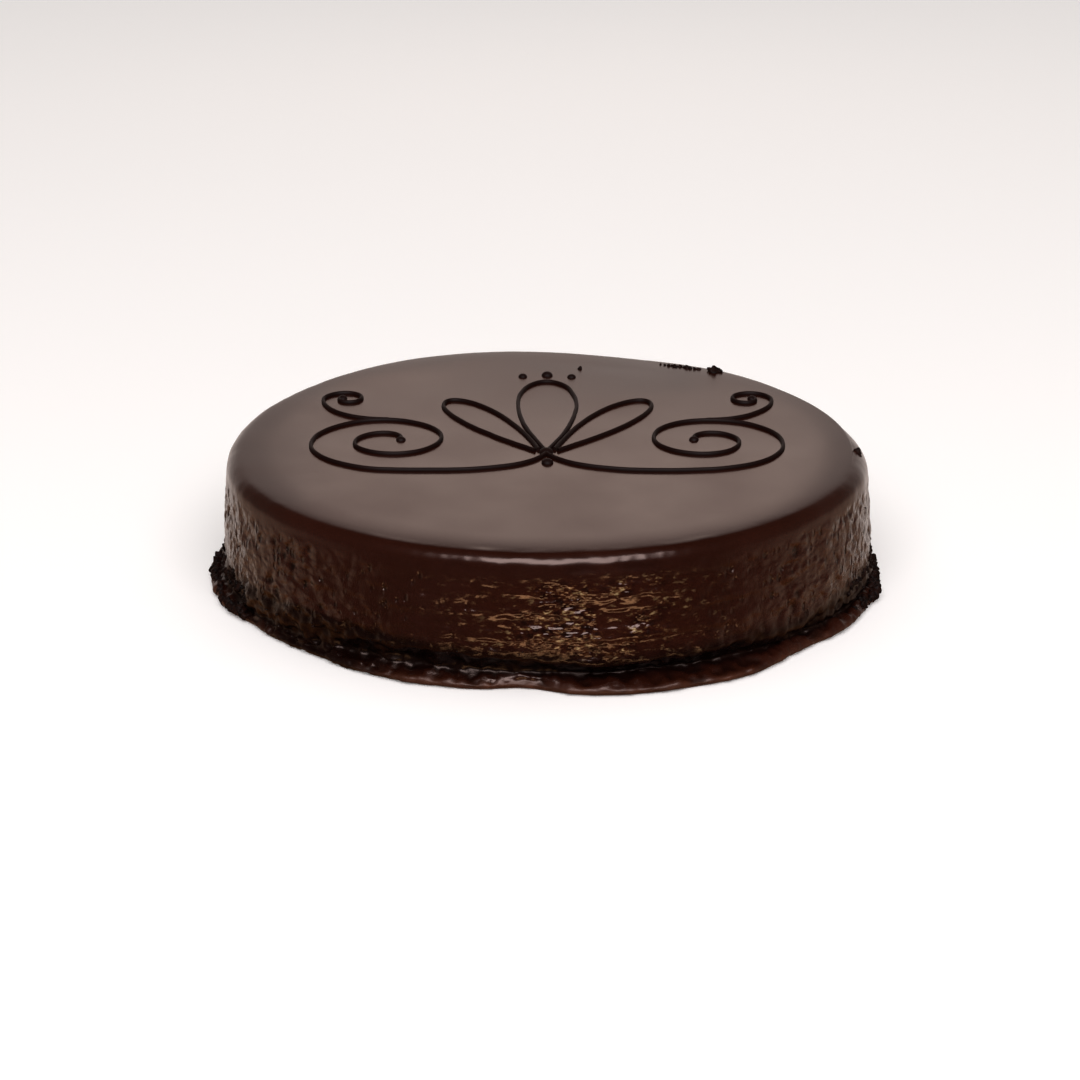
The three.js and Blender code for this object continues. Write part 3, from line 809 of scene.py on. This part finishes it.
def glaze_finish():
    """Boiled chocolate icing, poured: near-black red-brown under a skin that mirrors the room softly."""
    values = {"IOR": 1.5, "Specular_Tint": linear("#ffe2d8")}
    material, tree, shader = new_finish("poured_chocolate_glaze", **values)
    place = node(tree, "ShaderNodeTexCoord").outputs["Object"]
    marks = {}
    for label in ("lumpy", "streaky", "pitted", "thin", "pooled", "front", "relief", "pit", "heap"):
        marks[label] = node(tree, "ShaderNodeAttribute", attribute_name=label).outputs["Fac"]
    seen = {}
    for label, spacing, closer, detail, roughness in PATTERNS:
        stretched = node(tree, "ShaderNodeVectorMath", {0: place, 1: (1, 1, closer)}, operation="MULTIPLY")
        inputs = {"Vector": stretched, "Scale": 1 / (spacing * MM)}
        inputs.update({"Detail": detail, "Roughness": roughness})
        seen[label] = node(tree, "ShaderNodeTexNoise", inputs, label=label)
    shares = {}
    for label, followed, *limits in FOLLOWING:
        inputs = dict(enumerate(({**marks, **seen}[followed], *limits)))
        shares[label] = node(tree, "ShaderNodeMapRange", inputs, label=label)
    colour = {0: seen["tone"], 6: linear("#180703"), 7: linear("#2b1009")}
    colour = node(tree, "ShaderNodeMix", colour, data_type="RGBA")

    # At the front the spatula dragged the glaze: it is thick and black in some streaks, and in others
    # painted amber and pale gold stand for a painted golden reflection and painted glints.
    brushed = {0: marks["streaky"], 1: shares["middle"]}
    brushed = node(tree, "ShaderNodeMath", brushed, operation="MULTIPLY")
    dragged = node(tree, "ShaderNodeMath", {0: shares["dragged"], 1: brushed}, operation="MULTIPLY")
    # The second and third layers are painted: a golden reflection, then glints.
    for begins, full, most, code in DRAGGED_LAYERS_AND_PAINTED_GLINTS:
        shown = node(tree, "ShaderNodeMapRange", {0: seen["streak"], 1: begins, 2: full, 3: 0, 4: most})
        shown = node(tree, "ShaderNodeMath", {0: shown, 1: dragged}, operation="MULTIPLY")
        colour = node(tree, "ShaderNodeMix", {0: shown, 6: colour, 7: linear(code)}, data_type="RGBA")

    # A film of glaze at the foot is lighter and redder, in patches.
    film = node(tree, "ShaderNodeMath", {0: shares["film"], 1: marks["thin"]}, operation="MULTIPLY")
    colour = node(tree, "ShaderNodeMix", {0: film, 6: colour, 7: linear("#43200f")}, data_type="RGBA")

    # Thick glaze is almost black, with a ragged upper edge; in the groove under the lip it is painted
    # shade.
    pooled = node(tree, "ShaderNodeMath", {0: marks["pooled"], 1: marks["heap"]}, operation="ADD")
    pooled = {0: seen["patch"], 1: RAGGED, 2: pooled}
    pooled = node(tree, "ShaderNodeMath", pooled, operation="MULTIPLY_ADD")
    pooled = node(tree, "ShaderNodeMapRange", dict(enumerate((pooled, *POOLED_AND_SHADED_REACH))))
    colour = node(tree, "ShaderNodeMix", {0: pooled, 6: colour, 7: linear("#0b0201")}, data_type="RGBA")
    # Painted shade for the dips of the relief and for the pits.
    painted_shade_in_hollows = node(tree, "ShaderNodeMath", {0: shares["hollow"], 1: marks["pit"]}, operation="MAXIMUM")

    # Burst bubbles on the side, taller than wide, where it isn't dragged; painted shade darkens their
    # hollows.
    bare = node(tree, "ShaderNodeMath", {0: marks["pitted"], 1: shares["away"]}, operation="MULTIPLY")
    stretched = {0: place, 1: (1, 1, BUBBLE_STRETCH)}
    stretched = node(tree, "ShaderNodeVectorMath", stretched, operation="MULTIPLY")
    bubble = node(tree, "ShaderNodeTexVoronoi", {"Vector": stretched, "Scale": 1 / (BUBBLE_SPACING * MM)})
    bubble = node(tree, "ShaderNodeMapRange", dict(enumerate((bubble, *BUBBLE_REACH))))
    bubble = node(tree, "ShaderNodeMath", {0: bubble, 1: shares["bubbly"]}, operation="MULTIPLY")
    bubble = node(tree, "ShaderNodeMath", {0: bubble, 1: bare}, operation="MULTIPLY")
    painted_shade_in_hollows = node(tree, "ShaderNodeMath", {0: painted_shade_in_hollows, 1: bubble}, operation="MAXIMUM")
    # Painted shade, near black, in the dips, pits and bubbles.
    colour = node(tree, "ShaderNodeMix", {0: painted_shade_in_hollows, 6: colour, 7: linear("#080201")}, data_type="RGBA")
    tree.links.new(colour.outputs[2], shader.inputs["Base Color"])

    # The poured skin is softly glossy, wetter where it was dragged, and duller low on the side.
    gloss = shares["gloss"]
    for share, change in zip((brushed, marks["thin"], marks["pooled"]), GLOSS_CHANGES):
        gloss = node(tree, "ShaderNodeMath", {0: share, 1: change, 2: gloss}, operation="MULTIPLY_ADD")
    tree.links.new(gloss.outputs[0], shader.inputs["Roughness"])
    shine = node(tree, "ShaderNodeMapRange", {0: pooled, 3: SPECULAR[0], 4: SPECULAR[1]})
    tree.links.new(shine.outputs[0], shader.inputs["Specular IOR Level"])

    # Each relief lies on the one before it.
    sunk = node(tree, "ShaderNodeMath", {0: bubble, 1: -1}, operation="MULTIPLY")
    reliefs = [
        (seen["grain"], shares["grainy"], GRAIN_DEPTH),
        (seen["hair"], dragged, HAIR_DEPTH),
        (seen["dimple"], bare, DIMPLE_DEPTH),
        (sunk, 1, BUBBLE_DEPTH),
    ]
    below = {}
    for height, strength, depth in reliefs:
        inputs = {"Height": height, "Strength": strength, "Distance": depth * MM, **below}
        below = {"Normal": node(tree, "ShaderNodeBump", inputs)}
    tree.links.new(below["Normal"].outputs[0], shader.inputs["Normal"])
    return material


def mottled_finish(name, spacing, detail, reach, colours, **values):
    """A plain finish that varies between two colours, in spots this many millimetres apart."""
    material, tree, shader = new_finish(name, **values)
    place = node(tree, "ShaderNodeTexCoord").outputs["Object"]
    inputs = {"Vector": place, "Scale": 1 / (spacing * MM), "Detail": detail}
    tone = node(tree, "ShaderNodeTexNoise", inputs)
    tone = node(tree, "ShaderNodeMapRange", {0: tone, 1: reach[0], 2: reach[1]})
    colour = {0: tone, 6: linear(colours[0]), 7: linear(colours[1])}
    colour = node(tree, "ShaderNodeMix", colour, data_type="RGBA")
    tree.links.new(colour.outputs[2], shader.inputs["Base Color"])
    return material


def piping_finish():
    """Melted dark chocolate, piped and set: near black, with hardly any shine along the line."""
    values = {"IOR": 1.5, "Roughness": 0.55, "Specular_IOR_Level": 0.15}
    return mottled_finish("piped_dark_chocolate", 9, 2, (0, 1), ("#0e0403", "#1a0906"), **values)


def crumb_finish():
    """Sponge crumbs soaked with glaze: dull, almost black, with browner broken faces."""
    values = {"IOR": 1.45, "Roughness": 0.6, "Specular_IOR_Level": 0.15}
    return mottled_finish("glazed_sponge_crumb", 2, 3, (0.4, 0.7), ("#0a0302", "#200c06"), **values)


# ---------------------------- camera, floor and light

VIEW_DISTANCE = 1261.7
VIEW_ELEVATION = 20.98
LENS = 108.4
SENSOR = 36
FRAME = 1080
CENTRE = (547.2, 569.8)  # where the middle of the base lies in the frame, in pixels
FLOOR_REACH = 8  # metres from the middle to each edge
FLOOR_GAP = 0.2  # millimetres from the floor up to the base
FLOOR_GLOW = 0.15  # light of its own, so that the paper comes out white
# Lamps: name, azimuth and elevation in degrees, distance, width and height in metres, how bright its
# face looks, its colour, and whether the glaze mirrors it.
LAMPS = [
    ("front", -88, 41, 2.6, 2.5, 1.15, 7.3, "#fcf8fb", True),
    ("back", 89.6, 24, 1.1, 0.4, 0.15, 1, "#ffe0d0", True),
    ("overhead", 0, 89, 4, 7, 7, 0.72, "#ffffff", False),
]


def add_camera():
    data = bpy.data.cameras.new("camera")
    data.lens = LENS
    data.sensor_width = SENSOR
    data.shift_x = (FRAME / 2 - CENTRE[0]) / FRAME
    data.shift_y = (CENTRE[1] - FRAME / 2) / FRAME
    camera = placed("camera", data)
    up = math.radians(VIEW_ELEVATION)
    camera.location = (0, -VIEW_DISTANCE * MM * math.cos(up), VIEW_DISTANCE * MM * math.sin(up))
    camera.rotation_euler = (math.pi / 2 - up, 0, 0)
    bpy.context.scene.camera = camera


def add_softbox(name, azimuth, elevation, distance, width, height, brightness, colour, mirrored):
    """A soft lamp that faces the torte."""
    data = bpy.data.lights.new(name, "AREA")
    data.shape = "RECTANGLE"
    data.size = width
    data.size_y = height
    data.energy = brightness * math.pi * width * height
    data.color = linear(colour)[:3]
    lamp = placed(name, data)
    turned = math.radians(azimuth)
    up = math.radians(elevation)
    away = Vector((math.cos(turned) * math.cos(up), math.sin(turned) * math.cos(up), math.sin(up)))
    lamp.location = away * distance
    lamp.rotation_euler = away.to_track_quat("Z", "Y").to_euler()
    lamp.visible_glossy = mirrored


def add_floor():
    mesh = bpy.data.meshes.new("floor")
    corners = [(x * FLOOR_REACH, y * FLOOR_REACH, 0) for x, y in ((-1, -1), (1, -1), (1, 1), (-1, 1))]
    mesh.from_pydata(corners, [], [(0, 1, 2, 3)])
    floor = placed("floor", mesh)
    values = {"Base_Color": linear("#fbf9f6"), "Roughness": 0.9, "Specular_IOR_Level": 0.2}
    values.update({"Emission_Color": linear("#fffefd"), "Emission_Strength": FLOOR_GLOW})
    mesh.materials.append(new_finish("matt_paper", **values)[0])
    floor.location = (0, 0, -FLOOR_GAP * MM)
    floor.visible_glossy = False


# The room, from straight down to straight up: the sine of the elevation and the colour seen there.
# In front it is dim, at the sides warm, and behind are pale walls and a pale table. The ceiling is dark.
ROOM_BRIGHTNESS = 2
ROOM_IN_FRONT = [
    (-1.0, "#4a3020"),
    (-0.5, "#2c1e16"),
    (-0.15, "#1f1715"),
    (0.1, "#3a3430"),
    (0.5, "#3a3430"),
    (0.7, "#3e3835"),
    (1.0, "#403a38"),
]
ROOM_AT_SIDES = [
    (-1.0, "#4e2d1a"),
    (-0.6, "#6a4328"),
    (-0.36, "#846d5d"),
    (-0.15, "#725f53"),
    (0.0, "#4a3e38"),
    (0.2, "#2a2320"),
    (0.45, "#1e1916"),
    (1.0, "#181412"),
]
ROOM_BEHIND = [
    (-1.0, "#62503a"),
    (-0.6, "#70604f"),
    (-0.36, "#b6a9a3"),
    (0.0, "#a09590"),
    (0.36, "#9d9190"),
    (0.43, "#5c524e"),
    (0.5, "#241e1b"),
    (1.0, "#181412"),
]
# Where one passes into the next, by how far a ray looks back.
FRONT_TO_SIDES = (-0.6, 0.15)
SIDES_TO_BACK = (0.66, 0.9)
# A golden glow low in front: its colour, and where it begins and is full, by how far a ray looks back
# and left, how far down it has to look, and how far down is too far.
GLOW = "#f8cc98"
GLOW_BRIGHTNESS = 2.7
GLOW_LIMITS = [("Y", -0.5, -0.75), ("X", -0.5, -0.3), ("Z", -0.47, -0.52), ("Z", -0.65, -0.6)]


def add_room():
    world = bpy.data.worlds.new("room")
    bpy.context.scene.world = world
    world.use_nodes = True
    tree = world.node_tree
    direction = node(tree, "ShaderNodeTexCoord").outputs["Generated"]
    parts = node(tree, "ShaderNodeSeparateXYZ", {0: direction})
    height = node(tree, "ShaderNodeMapRange", {0: parts.outputs["Z"], 1: -1})
    seen = []
    for stops in (ROOM_IN_FRONT, ROOM_AT_SIDES, ROOM_BEHIND):
        ramp = node(tree, "ShaderNodeValToRGB", {0: height})
        elements = ramp.color_ramp.elements
        elements.remove(elements[1])
        for step, (level, code) in enumerate(stops):
            element = elements[0] if step == 0 else elements.new(0.5)
            element.position = (level + 1) / 2
            element.color = linear(code)
        seen.append(ramp)
    colour = seen[0]
    for begins, full, ramp in ((*FRONT_TO_SIDES, seen[1]), (*SIDES_TO_BACK, seen[2])):
        inputs = {0: parts.outputs["Y"], 1: begins, 2: full}
        back = node(tree, "ShaderNodeMapRange", inputs, interpolation_type="SMOOTHSTEP")
        colour = node(tree, "ShaderNodeMix", {0: back, 6: colour, 7: ramp}, data_type="RGBA")
    glow = 1.0
    for axis, begins, full in GLOW_LIMITS:
        inputs = {0: parts.outputs[axis], 1: begins, 2: full}
        within = node(tree, "ShaderNodeMapRange", inputs, interpolation_type="SMOOTHSTEP")
        glow = node(tree, "ShaderNodeMath", {0: within, 1: glow}, operation="MULTIPLY")
    golden = [GLOW_BRIGHTNESS * part for part in linear(GLOW)]
    colour = node(tree, "ShaderNodeMix", {0: glow, 6: colour, 7: golden}, data_type="RGBA")
    backdrop = tree.nodes["Background"]
    backdrop.inputs["Strength"].default_value = ROOM_BRIGHTNESS
    tree.links.new(colour.outputs[2], backdrop.inputs["Color"])


add_camera()
add_floor()
add_room()
for lamp in LAMPS:
    add_softbox(*lamp)

body = make_body(glaze_finish())
scroll = make_scroll(body, piping_finish())
crumbs = make_crumbs(body, crumb_finish())
for piece, slot in ((body, "glaze"), (scroll, "piping"), (crumbs, "crumb")):
    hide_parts(NODE)
    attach(piece, ROOT)

bpy.context.scene.view_settings.view_transform = "Standard"
